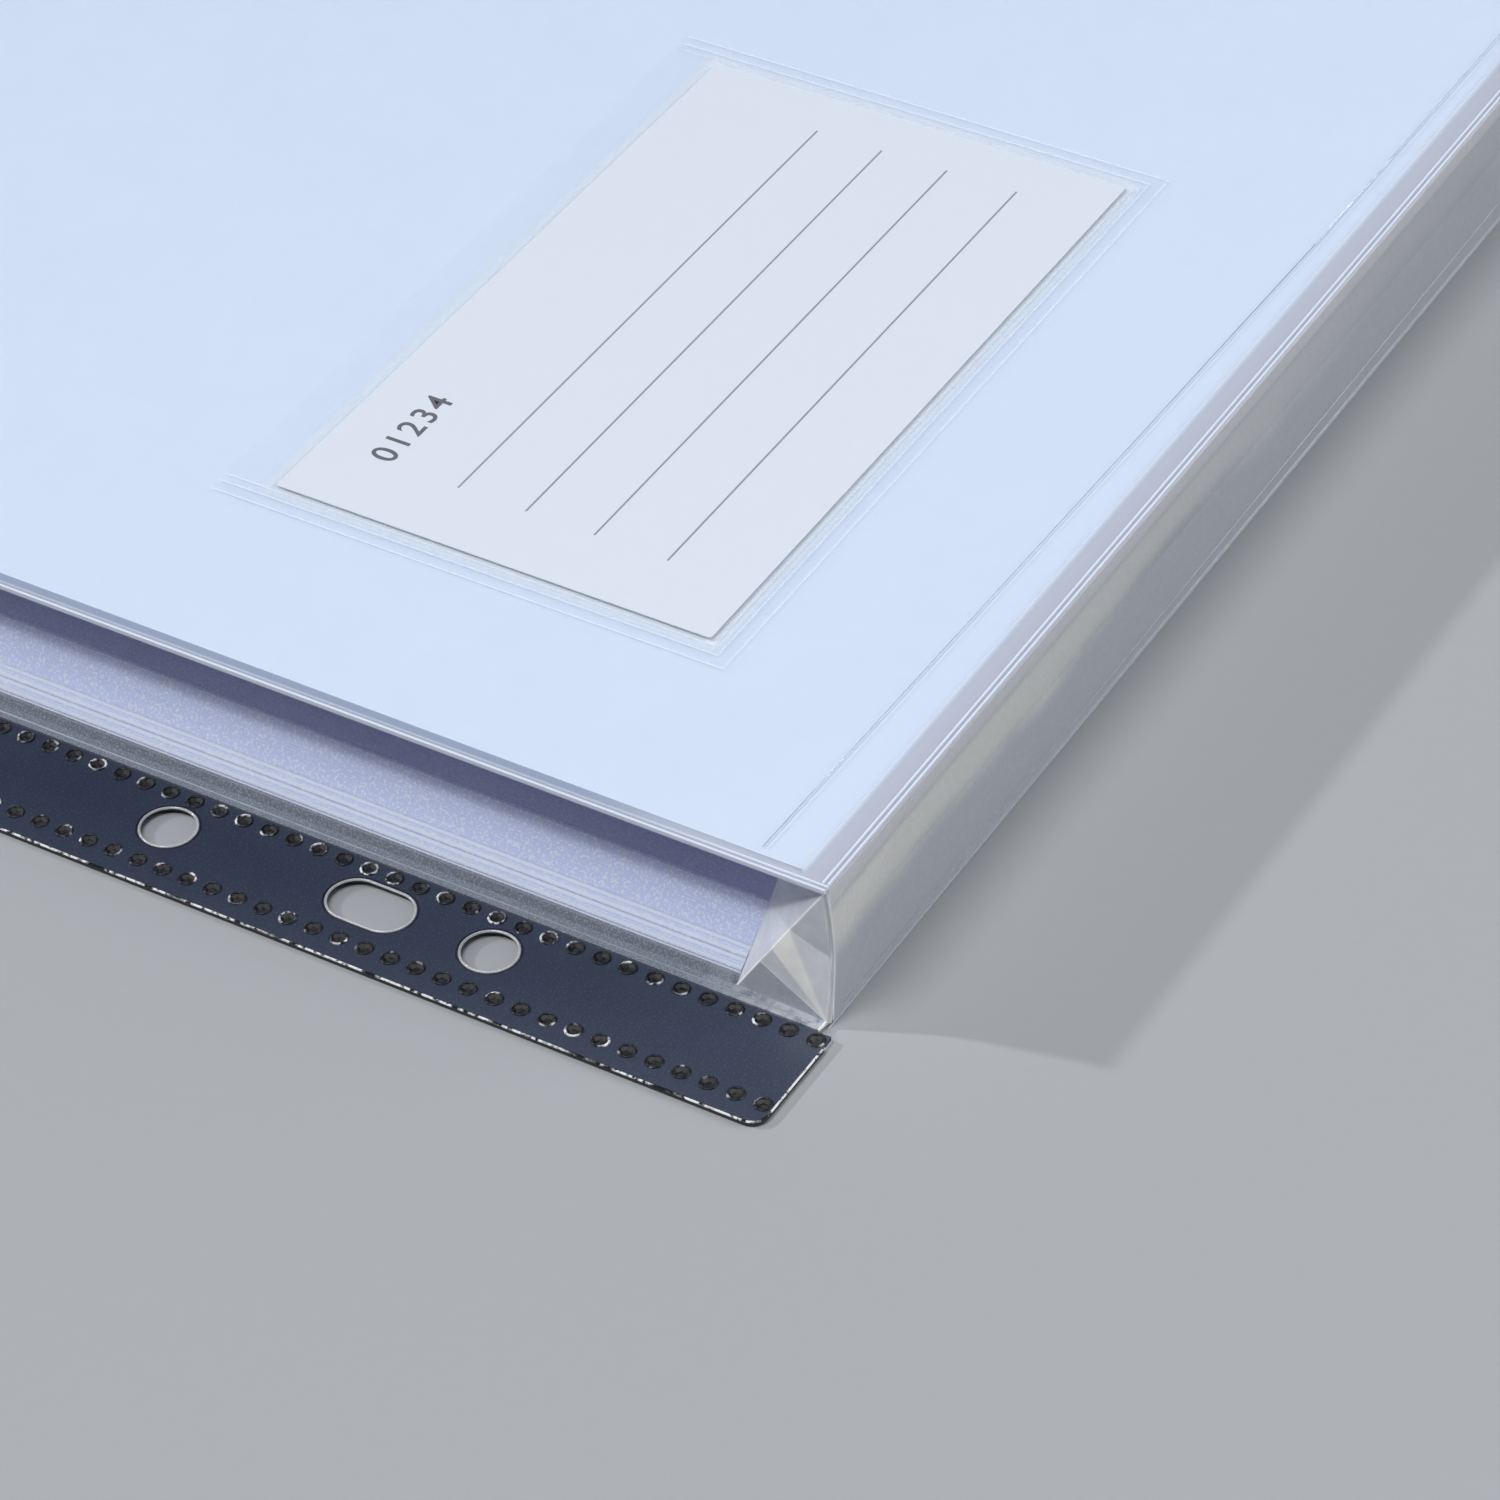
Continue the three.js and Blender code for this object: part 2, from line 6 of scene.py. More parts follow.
# %% Load the frame
import math
import bmesh
import bpy
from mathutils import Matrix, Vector


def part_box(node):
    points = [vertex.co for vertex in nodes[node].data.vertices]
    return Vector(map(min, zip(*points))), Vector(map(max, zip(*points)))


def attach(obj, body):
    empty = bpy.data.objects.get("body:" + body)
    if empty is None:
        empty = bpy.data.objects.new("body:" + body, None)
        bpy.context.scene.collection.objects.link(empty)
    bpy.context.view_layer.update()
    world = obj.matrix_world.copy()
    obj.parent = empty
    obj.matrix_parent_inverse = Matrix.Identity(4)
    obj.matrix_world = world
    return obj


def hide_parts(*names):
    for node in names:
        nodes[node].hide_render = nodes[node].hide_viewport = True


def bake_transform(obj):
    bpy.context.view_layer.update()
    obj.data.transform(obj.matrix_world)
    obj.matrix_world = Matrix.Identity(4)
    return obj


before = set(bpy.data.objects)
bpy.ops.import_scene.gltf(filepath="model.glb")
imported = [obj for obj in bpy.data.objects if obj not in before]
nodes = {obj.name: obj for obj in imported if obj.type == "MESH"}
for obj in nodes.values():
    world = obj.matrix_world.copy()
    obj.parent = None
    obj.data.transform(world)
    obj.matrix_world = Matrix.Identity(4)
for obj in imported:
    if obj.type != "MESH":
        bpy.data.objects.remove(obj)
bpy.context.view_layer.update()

# %% [markdown]
# ## Places
# Everything is measured from the corner where the binding fold meets the bottom fold, in
# millimetres: x leads away from the binding, y leads up to the mouth, z is up. `at` turns such a
# place into metres in the row frame. The main sizes are read from the frame, so the pieces made here
# keep to it. HAIR is a gap too thin to see, and places nearer than CLOSE count as the same.

# %% Places and sizes
MM = 0.001
HAIR = 0.002
CLOSE = 0.01
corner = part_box("front_panel")[0]


def at(x, y, z):
    return Vector((corner.x + x * MM, corner.y + y * MM, z * MM))


def reach(node, axis):
    """Where a CAD node starts and ends along an axis, in millimetres from the corner."""
    return [round((place[axis] - at(0, 0, 0)[axis]) / MM, 2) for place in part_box(node)]


FILM = reach("back_panel", 2)[1]
WIDTH = reach("front_panel", 0)[1]
LENGTH = sum(reach("flap_bridge", 1)) / 2
HEIGHT = reach("flap_bridge", 2)[1]
STRIP_TOP = reach("binding_strip", 2)[1]
STRIP_START, STRIP_END = reach("binding_backing", 1)
STRIP_LENGTH = STRIP_END - STRIP_START
STRIP_MIDDLE = (STRIP_START + STRIP_END) / 2
print("folder", WIDTH, LENGTH, HEIGHT, "film", FILM, "strip", STRIP_LENGTH, STRIP_MIDDLE, STRIP_TOP)

# %% [markdown]
# ## Shader sums
# `Wire` wraps an output socket, so a pattern can be written as a Python sum. `Finish` makes one
# material and its nodes. All patterns read Object coordinates, so they keep their real size.

# %% One value in a finish


def plug(tree, value, socket):
    if isinstance(value, Wire):
        tree.links.new(value.socket, socket)
    else:
        socket.default_value = value


class Wire:
    def __init__(self, tree, socket):
        self.tree = tree
        self.socket = socket

    def sum(self, operation, *values):
        node = self.tree.nodes.new("ShaderNodeMath")
        node.operation = operation
        for value, socket in zip(values, node.inputs):
            plug(self.tree, value, socket)
        return Wire(self.tree, node.outputs[0])

    def __add__(self, other):
        return self.sum("ADD", self, other)

    def __radd__(self, other):
        return self.sum("ADD", other, self)

    def __sub__(self, other):
        return self.sum("SUBTRACT", self, other)

    def __rsub__(self, other):
        return self.sum("SUBTRACT", other, self)

    def __mul__(self, other):
        return self.sum("MULTIPLY", self, other)

    def __rmul__(self, other):
        return self.sum("MULTIPLY", other, self)

    def __gt__(self, other):
        return self.sum("GREATER_THAN", self, other)

    def __lt__(self, other):
        return self.sum("LESS_THAN", self, other)

    def __abs__(self):
        return self.sum("ABSOLUTE", self)

    def least(self, other):
        return self.sum("MINIMUM", self, other)

    def most(self, other):
        return self.sum("MAXIMUM", self, other)

    def wave(self):
        return self.sum("SINE", self)


# %% One finish


class Finish:
    def __init__(self, name):
        self.material = bpy.data.materials.new(name)
        self.material.use_nodes = True
        self.tree = self.material.node_tree
        self.tree.nodes.clear()
        self.out = self.tree.nodes.new("ShaderNodeOutputMaterial")
        place = self.tree.nodes.new("ShaderNodeTexCoord")
        self.place = Wire(self.tree, place.outputs["Object"])
        self.facing = Wire(self.tree, place.outputs["Normal"])

    def node(self, kind, settings=None, output=0, **values):
        made = self.tree.nodes.new(kind)
        for key, value in (settings or {}).items():
            setattr(made, key, value)
        for key, value in values.items():
            plug(self.tree, value, made.inputs[key.replace("_", " ")])
        return Wire(self.tree, made.outputs[output])

    def axes(self, vector):
        split = self.tree.nodes.new("ShaderNodeSeparateXYZ")
        self.tree.links.new(vector.socket, split.inputs[0])
        return [Wire(self.tree, output) for output in split.outputs]

    def noise(self, per_metre, detail, stretch=(1, 1, 1)):
        moved = self.node("ShaderNodeMapping", Vector=self.place, Scale=stretch)
        return self.node("ShaderNodeTexNoise", Vector=moved, Scale=per_metre, Detail=detail)

    def ramp(self, value, low, high):
        settings = {"interpolation_type": "SMOOTHSTEP"}
        return self.node("ShaderNodeMapRange", settings, Value=value, From_Min=low, From_Max=high)

    def band(self, value, low_mm, high_mm, soft_mm):
        """One between two places, fading to nothing over a soft width outside them."""
        rising = self.ramp(value, (low_mm - soft_mm) * MM, low_mm * MM)
        return rising * self.ramp(value, (high_mm + soft_mm) * MM, high_mm * MM)

    def blend(self, share, first, second):
        made = self.tree.nodes.new("ShaderNodeMix")
        made.data_type = "RGBA"
        colours = [socket for socket in made.inputs if socket.type == "RGBA"]
        plug(self.tree, share, made.inputs["Factor"])
        plug(self.tree, first, colours[0])
        plug(self.tree, second, colours[1])
        return Wire(self.tree, next(socket for socket in made.outputs if socket.type == "RGBA"))

    def bump(self, height, depth_mm):
        return self.node("ShaderNodeBump", Height=height, Distance=depth_mm * MM)

    def either(self, share, first, second):
        made = self.tree.nodes.new("ShaderNodeMixShader")
        plug(self.tree, share, made.inputs[0])
        self.tree.links.new(first.socket, made.inputs[1])
        self.tree.links.new(second.socket, made.inputs[2])
        return Wire(self.tree, made.outputs[0])

    def mirroring(self, normal, shine):
        share = self.node("ShaderNodeFresnel", IOR=1.49, Normal=normal)
        inside = self.node("ShaderNodeNewGeometry", output="Backfacing")
        return share * shine * (1 - inside)

    def done(self, shader):
        self.tree.links.new(shader.socket, self.out.inputs["Surface"])
        return self.material


def colour(red, green, blue):
    return (red, green, blue, 1.0)


# %% [markdown]
# ## Film
# Clear film lets most light through, mirrors a little of it (more at a flat angle) and scatters some.
# Where a sheet is cut or pressed it shows its thickness as a bright line, so faces that stand
# upright on a flat sheet scatter more. Light isn't bent at the film's two faces, so the far face
# gets no mirroring, and the near one stands for both. Glitter is tiny mirrors that face all ways.

# %% Film finish


def film_finish(name, tint, milk, haze, edge=0.0, gloss=0.12, flecks=0.0, relief=1.0, shine=1.3, zones=()):
    f = Finish(name)
    normal = f.bump(f.noise(2600, 2) * relief + f.noise(38, 1) * 6, 0.008)
    amount = haze + (f.noise(420, 3) - 0.5) * haze * 0.5
    if edge:
        upright = 1 - abs(f.axes(f.facing)[2])
        amount = amount + f.ramp(upright, 0.4, 0.8) * edge
    for zone in zones:
        share, zone_milk, zone_haze = zone(f)
        if zone_milk is not None:
            milk = f.blend(share, milk, zone_milk)
        amount = amount + share * zone_haze
    clear = f.node("ShaderNodeBsdfTransparent", Color=tint)
    mirror = f.node("ShaderNodeBsdfGlossy", Roughness=gloss, Normal=normal)
    body = f.node("ShaderNodeBsdfPrincipled", Base_Color=milk, Roughness=0.35, Normal=normal)
    film = f.either(amount.least(1.0), f.either(f.mirroring(normal, shine), clear, mirror), body)
    if flecks:
        sparkle = f.ramp(f.noise(6500, 0), 0.58, 0.72)
        glint = f.node("ShaderNodeBsdfGlossy", Roughness=0.4, Normal=f.bump(f.noise(5200, 1), 0.08))
        film = f.either(sparkle * flecks, film, glint)
    return f.done(film)


# %% [markdown]
# A zone is a part of a sheet that scatters more than the rest. It could be a piece of its own, but a
# mask in the sheet's finish leaves no seam. A zone gives its share of the surface, its own colour, if
# it has one, and how much more it scatters. The pale ring round the card is painted light over the card's
# shadow, and the dark line beside the binding is painted shade.

# %% Zones on the film
CARD_HALO = 0.4
CARD_FADE = 1.8
SPINE_MARGIN = 1.62
FOOT_MARGIN = 3.1
MARGIN_FADE = 0.15
FOOT_WELD = 1.4
WELD_FADE = 0.05


def bead_zone(low, high, haze):
    """The raised beads of a weld, which lie between two heights."""
    return lambda f: (f.band(f.axes(f.place)[2], low, high, 0.02), None, haze)


def card_shadow_fill_zone(f):
    """The panel under and round the card, made paler: painted light that lifts the card's shadow."""
    x, y, z = f.axes(f.place)
    low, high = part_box("label_card")
    across = f.band(x, low.x / MM - CARD_HALO, high.x / MM + CARD_HALO, CARD_FADE)
    along = f.band(y, low.y / MM - CARD_HALO, high.y / MM + CARD_HALO, CARD_FADE)
    return across * along, colour(0.93, 0.98, 1.0), 0.22


def beside_spine(f):
    x = f.axes(f.place)[0]
    return f.ramp(x, at(SPINE_MARGIN, 0, 0).x, at(SPINE_MARGIN - MARGIN_FADE, 0, 0).x)


def margin_zone(f):
    """The panel's margins beside the binding and the bottom wall, where no paper touches it."""
    y = f.axes(f.place)[1]
    beside_foot = f.ramp(y, at(0, FOOT_MARGIN, 0).y, at(0, FOOT_MARGIN - MARGIN_FADE, 0).y)
    return beside_spine(f).most(beside_foot), None, 0.42


def gap_shade_zone(f):
    """Painted shade: a dark line in the margin beside the binding, away from the fold and the corner."""
    x, y, z = f.axes(f.place)
    off_fold = f.ramp(x, at(0.5, 0, 0).x, at(0.7, 0, 0).x)
    off_corner = f.ramp(y, at(0, 6, 0).y, at(0, 26, 0).y)
    return beside_spine(f) * off_fold * off_corner, colour(0.27, 0.33, 0.46), 0.4


def welded_foot(f):
    return f.ramp(f.axes(f.place)[2], (FOOT_WELD + WELD_FADE) * MM, (FOOT_WELD - WELD_FADE) * MM)


def foot_zone(f):
    """The side wall's dark foot, welded down beside the binding strip, with painted glints as specks."""
    painted_glints = f.ramp(f.noise(6000, 1), 0.45, 0.7)
    return welded_foot(f), f.blend(painted_glints, colour(0.145, 0.167, 0.205), colour(0.28, 0.31, 0.37)), 0.85


def foot_corner_zone(f):
    """Paler patches on that foot near the corner."""
    y = f.axes(f.place)[1]
    patches = f.ramp(y, at(0, 15, 0).y, at(0, 3, 0).y) * f.ramp(f.noise(900, 2), 0.3, 0.6)
    return welded_foot(f) * patches, colour(0.4, 0.43, 0.48), 0


# %% Film finishes
WHITE = colour(0.985, 0.99, 0.995)
FOLDED = {"relief": 2.0, "gloss": 0.2}
panel_film = film_finish(
    "panel_film", WHITE, colour(0.64, 0.69, 0.82), 0.03, edge=0.5,
    zones=[bead_zone(HEIGHT + 0.03, HEIGHT + 0.7, 0.6), card_shadow_fill_zone, margin_zone, gap_shade_zone],
)
clear_film = film_finish("clear_film", WHITE, colour(0.76, 0.82, 0.91), 0.04, edge=0.5)
pocket_film = film_finish(
    "pocket_film", colour(0.995, 0.997, 1.0), colour(0.78, 0.86, 1.0), 0.02, shine=0.35,
    zones=[bead_zone(HEIGHT + 0.065, HEIGHT + 0.075, 0.25)],
)
gusset_film = film_finish(
    "gusset_film", WHITE, colour(0.7, 0.75, 1.0), 0.08, **FOLDED, zones=[foot_zone, foot_corner_zone],
)
# shade_film's darker tint and milk are painted shade, deepening the real shadow on the upper side wall.
shade_film = film_finish(
    "shade_film", colour(0.8, 0.8, 0.9), colour(0.44, 0.46, 0.62), 0.05, flecks=0.1, **FOLDED,
)
# The foot, tuck, grey and bright pleat films get milk and haze that paint how brightly each facet is lit.
foot_film = film_finish(
    "foot_film", colour(0.96, 0.96, 1.0), colour(0.44, 0.47, 0.54), 0.7, flecks=0.16, relief=3.0, gloss=0.2,
)
weld_white_and_tuck_painted_light = film_finish("weld_white_and_tuck_painted_light", WHITE, colour(0.68, 0.71, 0.8), 0.65, **FOLDED)
grey_pleat_painted_light = film_finish("grey_pleat_painted_light", WHITE, colour(0.88, 0.9, 0.95), 0.8, **FOLDED)
bright_pleat_painted_light = film_finish("bright_pleat_painted_light", WHITE, colour(1.0, 1.0, 0.98), 0.92, **FOLDED)
score_film = film_finish("score_film", WHITE, colour(0.34, 0.42, 0.62), 0.5)
faint_film = film_finish("faint_film", WHITE, colour(0.42, 0.5, 0.7), 0.3)
fold_film = film_finish("fold_film", WHITE, colour(0.85, 0.87, 0.9), 0.6, **FOLDED)
crease_film = film_finish("crease_film", WHITE, colour(0.95, 0.96, 0.97), 0.85, **FOLDED)
rim_film = film_finish(
    "rim_film", colour(0.96, 0.97, 0.98), colour(0.8, 0.82, 0.84), 0.3, edge=0.4, flecks=0.3, relief=3.0,
)
print("clear films made")

# %% [markdown]
# Frosted film scatters light to both sides. Its colour carries painted light: a glow across the bottom
# wall's middle, strongest near the corner, and a pale band under its top edge, where light falls in behind
# it. Its grain is a fine weave, which shows as rows of dots.

# %% Frosted film
WEAVE = 0.6
GLOW_STARTS = 5.6
GLOW_FULL = 8.8
GLOW_FADES = 11.6
GLOW_ENDS = 13.4
MARGIN_LIGHT_STARTS = 12.7
MARGIN_LIGHT_FULL = 13.0


def frosted_finish():
    f = Finish("frosted_film")
    x, y, z = f.axes(f.place)
    step = math.tau / (WEAVE * MM)
    weave = ((x + z) * step).wave() * ((x - z) * step).wave()
    normal = f.bump(f.noise(1900, 3) * 1.5 + weave * 0.5, 0.012)
    drift = (f.noise(55, 2, (1, 1, 0.6)) - 0.5) * 0.006
    # The glow band and the pale band under the top edge are painted light in the base colour.
    near = f.ramp(x, at(130, 0, 0).x, at(8, 0, 0).x)
    painted_glow = f.ramp(z + drift, GLOW_STARTS * MM, GLOW_FULL * MM) * (near * 0.75 + 0.25)
    painted_glow = painted_glow * f.ramp(z, GLOW_ENDS * MM, GLOW_FADES * MM)
    painted_margin_light = f.ramp(z, MARGIN_LIGHT_STARTS * MM, MARGIN_LIGHT_FULL * MM)
    fine = 1 + weave * painted_glow * 0.12 + (f.noise(2600, 1) - 0.5) * 0.3
    shade = f.blend(painted_glow, colour(0.56, 0.59, 0.64), colour(0.9, 0.9, 0.87))
    shade = f.blend(painted_margin_light, shade, colour(0.8, 0.81, 0.84))
    shade = f.node("ShaderNodeVectorMath", {"operation": "SCALE"}, Vector=shade, Scale=fine)
    front = f.node("ShaderNodeBsdfPrincipled", Base_Color=shade, Roughness=0.38, Normal=normal)
    through = f.node("ShaderNodeBsdfTranslucent", Color=colour(0.8, 0.81, 0.81), Normal=normal)
    clear = f.node("ShaderNodeBsdfTransparent", Color=colour(0.92, 0.93, 0.95))
    return f.done(f.either(0.2, f.either(0.35, front, through), clear))


frosted_film = frosted_finish()

# %% [markdown]
# ## Opaque finishes
# Navy film has a satin skin. Its tiny light flecks are painted glints, and it is made paler towards the
# corner end. Its weld pits are painted near black as shade, with lighter patches on their floors as
# painted light. The snap is moulded plastic with a faint orange-peel skin, which the same finish gives
# without flecks.

# %% Navy film and plastic
PIT_FLOOR = 0.41


def navy_finish(name, base, roughness, flecks, pits=False):
    f = Finish(name)
    x, y, z = f.axes(f.place)
    # The light specks are painted glints, and the strip is made paler towards its corner end.
    painted_sparkle = f.ramp(f.noise(6000, 0), 0.6, 0.76) * flecks
    paler_near_corner = f.ramp(y, at(0, 75, 0).y, at(0, -5, 0).y) * 0.045
    tint = f.blend(painted_sparkle + paler_near_corner, base, colour(0.3, 0.34, 0.42))
    if pits:
        # The pits are painted near black as shade; patches of their floors are lighter, as painted light.
        inside = f.band(z, FILM + 0.06, STRIP_TOP - 0.06, 0.05)
        tint = f.blend(inside, tint, colour(0.004, 0.004, 0.006))
        floor = f.ramp(z, (PIT_FLOOR + 0.02) * MM, PIT_FLOOR * MM)
        painted_lit_floor_patches = f.ramp(f.noise(2600, 2), 0.42, 0.6)
        tint = f.blend(floor * painted_lit_floor_patches, tint, colour(0.032, 0.031, 0.03))
    wear = roughness + (f.noise(160, 3) - 0.5) * 0.12
    shader = f.node(
        "ShaderNodeBsdfPrincipled", Base_Color=tint, Roughness=wear, Normal=f.bump(f.noise(1800, 3), 0.004),
    )
    return f.done(shader)


navy_film = navy_finish("navy_film", colour(0.016, 0.024, 0.047), 0.36, 0.1, pits=True)
navy_lip_and_painted_shadow = navy_finish("navy_lip_and_painted_shadow", colour(0.012, 0.014, 0.022), 0.25, 0.0)
snap_plastic = navy_finish("snap_plastic", colour(0.022, 0.03, 0.056), 0.26, 0.0)
print("navy finishes made")

# %% [markdown]
# Paper has fibres. Light specks on its sides are painted glints, standing for the sparkle of the film's
# textured skin in front of them. Waves across the height stand for the leaves: modelling hundreds of
# leaves would show no more.

# %% Paper


def paper_finish(name, leaf_mm, dark, light, first_mm):
    f = Finish(name)
    z = f.axes(f.place)[2]
    fibres = f.noise(1500, 4)
    cloud = f.noise(90, 2)
    upright = 1 - abs(f.axes(f.facing)[2])
    leaves = ((z - first_mm * MM) * (math.tau / (leaf_mm * MM)) + f.noise(30, 1) * 0.8).wave()
    tint = f.blend(cloud, colour(0.625, 0.71, 0.86), colour(0.645, 0.73, 0.87))
    side = f.blend(f.ramp(leaves, -0.8, 0.8), dark, light)
    # Light specks on the sides are painted glints.
    side = f.blend(f.ramp(f.noise(4200, 0), 0.54, 0.66), side, colour(0.9, 0.92, 1.0))
    shader = f.node(
        "ShaderNodeBsdfPrincipled",
        Base_Color=f.blend(f.ramp(upright, 0.3, 0.6), tint, side),
        Roughness=0.85,
        Normal=f.bump(fibres, 0.006),
    )
    return f.done(shader)


blue_paper = paper_finish("blue_paper", 0.24, colour(0.63, 0.7, 0.98), colour(0.69, 0.76, 1.0), 0)
loose_paper = paper_finish("loose_paper", 0.55, colour(0.66, 0.72, 0.98), colour(0.9, 0.94, 1.0), 0.49)
print("papers made")

# %% [markdown]
# The card has four ruled lines. Each is a narrow band of ink in the finish, as print has no thickness.

# %% Card stock
RULES = (55.1, 48.0, 40.9, 33.4)
RULE_START = 30.5
RULE_END = 93.7


def card_finish():
    f = Finish("white_card")
    x, y, z = f.axes(f.place)
    span = (x > at(RULE_START, 0, 0).x) * (x < at(RULE_END, 0, 0).x)
    rules = [1 - f.ramp(abs(y - at(0, row, 0).y), 0.07 * MM, 0.13 * MM) for row in RULES]
    ink = rules[0]
    for rule in rules[1:]:
        ink = ink.most(rule)
    top = f.ramp(f.axes(f.facing)[2], 0.5, 0.9)
    stock = f.blend(f.noise(900, 4), colour(0.6, 0.645, 0.73), colour(0.62, 0.665, 0.75))
    tint = f.blend(ink * span * top * 0.8, stock, colour(0.12, 0.13, 0.16))
    shader = f.node(
        "ShaderNodeBsdfPrincipled", Base_Color=tint, Roughness=0.7, Normal=f.bump(f.noise(1400, 3), 0.004),
    )
    return f.done(shader)


white_card = card_finish()
print("card made")

# %% [markdown]
# The strip's melted edge and the lips of its weld spots are dark, with white patches: on the lips they are
# painted highlights, on the edge partly wear and partly painted highlight.

# %% Worn film


def wear_and_highlight_finish(name, start):
    f = Finish(name)
    patches = f.ramp(f.noise(420, 3), start, start + 0.12) * f.ramp(f.noise(2400, 2), 0.35, 0.55)
    shader = f.node(
        "ShaderNodeBsdfPrincipled",
        Base_Color=f.blend(patches, colour(0.008, 0.009, 0.012), colour(0.8, 0.81, 0.83)),
        Specular_IOR_Level=0.25,
        Roughness=0.3,
        Normal=f.bump(f.noise(2200, 2), 0.02),
    )
    return f.done(shader)


worn_edge_and_highlight_film = wear_and_highlight_finish("worn_edge_and_highlight_film", 0.36)
lip_highlight_film = wear_and_highlight_finish("lip_highlight_film", 0.54)
print(len(bpy.data.materials), "materials")

# %% [markdown]
# ## Working with pieces
# A new piece starts from a primitive at its size and place, and `made` moves its origin to the row
# frame's origin. A piece that follows a CAD shape starts from a merged copy of it. `move` shifts the
# corners that a test chooses, and `keep` gives a piece its finishes and its body.

# %% Modelling helpers


def select_only(obj):
    bpy.ops.object.select_all(action="DESELECT")
    obj.select_set(True)
    bpy.context.view_layer.objects.active = obj


def edit(obj):
    select_only(obj)
    bpy.ops.object.mode_set(mode="EDIT")
    bpy.ops.mesh.select_mode(type="VERT")
    bpy.ops.mesh.select_all(action="SELECT")


def leave():
    bpy.ops.object.mode_set(mode="OBJECT")


def made(name):
    obj = bpy.context.object
    obj.name = name
    obj.data.name = name
    bpy.ops.object.transform_apply(location=True, rotation=True, scale=True)
    return obj


def keep(obj, finishes, body, slot_name, *stands_for):
    obj.data.materials.clear()
    for finish in finishes:
        obj.data.materials.append(finish)
    if stands_for:
        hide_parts(*stands_for)
    if body:
        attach(obj, body)
    print(obj.name, len(obj.data.polygons), "faces")
    return obj


def copy_of(node, name):
    obj = bpy.data.objects.new(name, nodes[node].data.copy())
    bpy.context.scene.collection.objects.link(obj)
    edit(obj)
    bpy.ops.mesh.remove_doubles(threshold=HAIR * MM)
    bpy.ops.mesh.normals_make_consistent(inside=False)
    leave()
    return obj


def select_edges(obj, test):
    bpy.ops.mesh.select_mode(type="EDGE")
    bpy.ops.mesh.select_all(action="DESELECT")
    mesh = bmesh.from_edit_mesh(obj.data)
    for edge in mesh.edges:
        edge.select = test(edge)
    mesh.select_flush_mode()
    bmesh.update_edit_mesh(obj.data)


def move(obj, test, x=0, y=0, z=0):
    """Shifts the chosen corners of a piece by so many millimetres."""
    edit(obj)
    bpy.ops.mesh.select_all(action="DESELECT")
    mesh = bmesh.from_edit_mesh(obj.data)
    for vertex in mesh.verts:
        vertex.select = test(vertex.co)
    mesh.select_flush_mode()
    bmesh.update_edit_mesh(obj.data)
    bpy.ops.transform.translate(value=(x * MM, y * MM, z * MM))
    leave()


# %% [markdown]
# ## Folded walls
# Film turns white where it is folded hard. The walls are merged copies of the CAD ones. The folds that
# meet at the bottom corner are bevelled, and the bevel gets the whitened finish. Each pleat of a side
# wall faces its own way and gets its own tint and milkiness, which paint the light and shade it shows;
# the upper wall's darker finish is painted shade. Faces are sorted by which side of the fold from tip to
# foot they lie on, and by their angle seen from the apex, the corner's lowest point. These three places
# on the wall's end are written as y and z.

# %% Where the folds lie
TIP = (0.35, 14.65)
FOOT = (9.1, 0.65)
APEX = (0.35, 0.65)
WALL_CREASE = 8.2
PLEATS_END = 8.2
TUCK_DEPTH = 3.4
NEAR_CORNER = 0.8
NEAR_FOLD = 0.45
PLEATS = {66: "grey", 48: "bright", 26: "grey"}


def before_fold(y, z):
    """Millimetres from the fold that runs from the tip to the foot, positive towards the corner."""
    run, drop = FOOT[0] - TIP[0], TIP[1] - FOOT[1]
    return (drop * (FOOT[0] - y) - run * (z - FOOT[1])) / math.hypot(run, drop)


def facet(point):
    """Which finish a side wall's face gets. PLEATS holds the angle in degrees where each pleat starts."""
    place = (point - at(0, 0, 0)) / MM
    inwards = before_fold(place.y, place.z)
    if place.y > PLEATS_END or inwards < -TUCK_DEPTH:
        return "shade" if place.z > WALL_CREASE else "lit"
    if inwards < 0.1:
        return "tuck"
    turn = math.degrees(math.atan2(place.z - APEX[1], place.y - APEX[0]))
    return next((pleat for start, pleat in PLEATS.items() if turn > start), "foot")


def white_fold(edge):
    """True for the pleats' own folds and for the corner's upright edge."""
    ends = [(v.co - at(0, 0, 0)) / MM for v in edge.verts]
    at_apex = any(abs(p.y - APEX[0]) < NEAR_CORNER and p.z < APEX[1] + NEAR_FOLD for p in ends)
    on_fold = [abs(before_fold(p.y, p.z)) < NEAR_FOLD and p.y < FOOT[0] + 0.4 for p in ends]
    at_corner = all(p.y < NEAR_CORNER for p in ends)
    return all(on_fold) or (at_apex and any(on_fold) and ends[0].z != ends[1].z) or at_corner


# %% Folded walls


def whiten_folds(obj, width_mm, sharper_than, is_fold=lambda edge: True):
    """Bevel the folds that are sharper than an angle. The bevel takes the piece's second finish."""
    edit(obj)
    least = math.radians(sharper_than)
    select_edges(obj, lambda e: e.is_manifold and e.calc_face_angle(0) > least and is_fold(e))
    bpy.ops.mesh.bevel(
        offset=width_mm * MM, offset_type="OFFSET", segments=2, profile=0.5, clamp_overlap=True, material=1,
    )
    leave()
    print("   bevelled to", len(obj.data.polygons), "faces")


def side_wall(node, name):
    finishes = {
        "lit": gusset_film, "crease": crease_film, "shade": shade_film, "tuck": weld_white_and_tuck_painted_light,
        "grey": grey_pleat_painted_light, "bright": bright_pleat_painted_light, "foot": foot_film,
    }
    levels = list(finishes)
    wall = copy_of(node, name)
    keep(wall, finishes.values(), "pocket", "clear_film", node)
    for polygon in wall.data.polygons:
        polygon.material_index = levels.index(facet(polygon.center))
    whiten_folds(wall, 0.09, 4, white_fold)


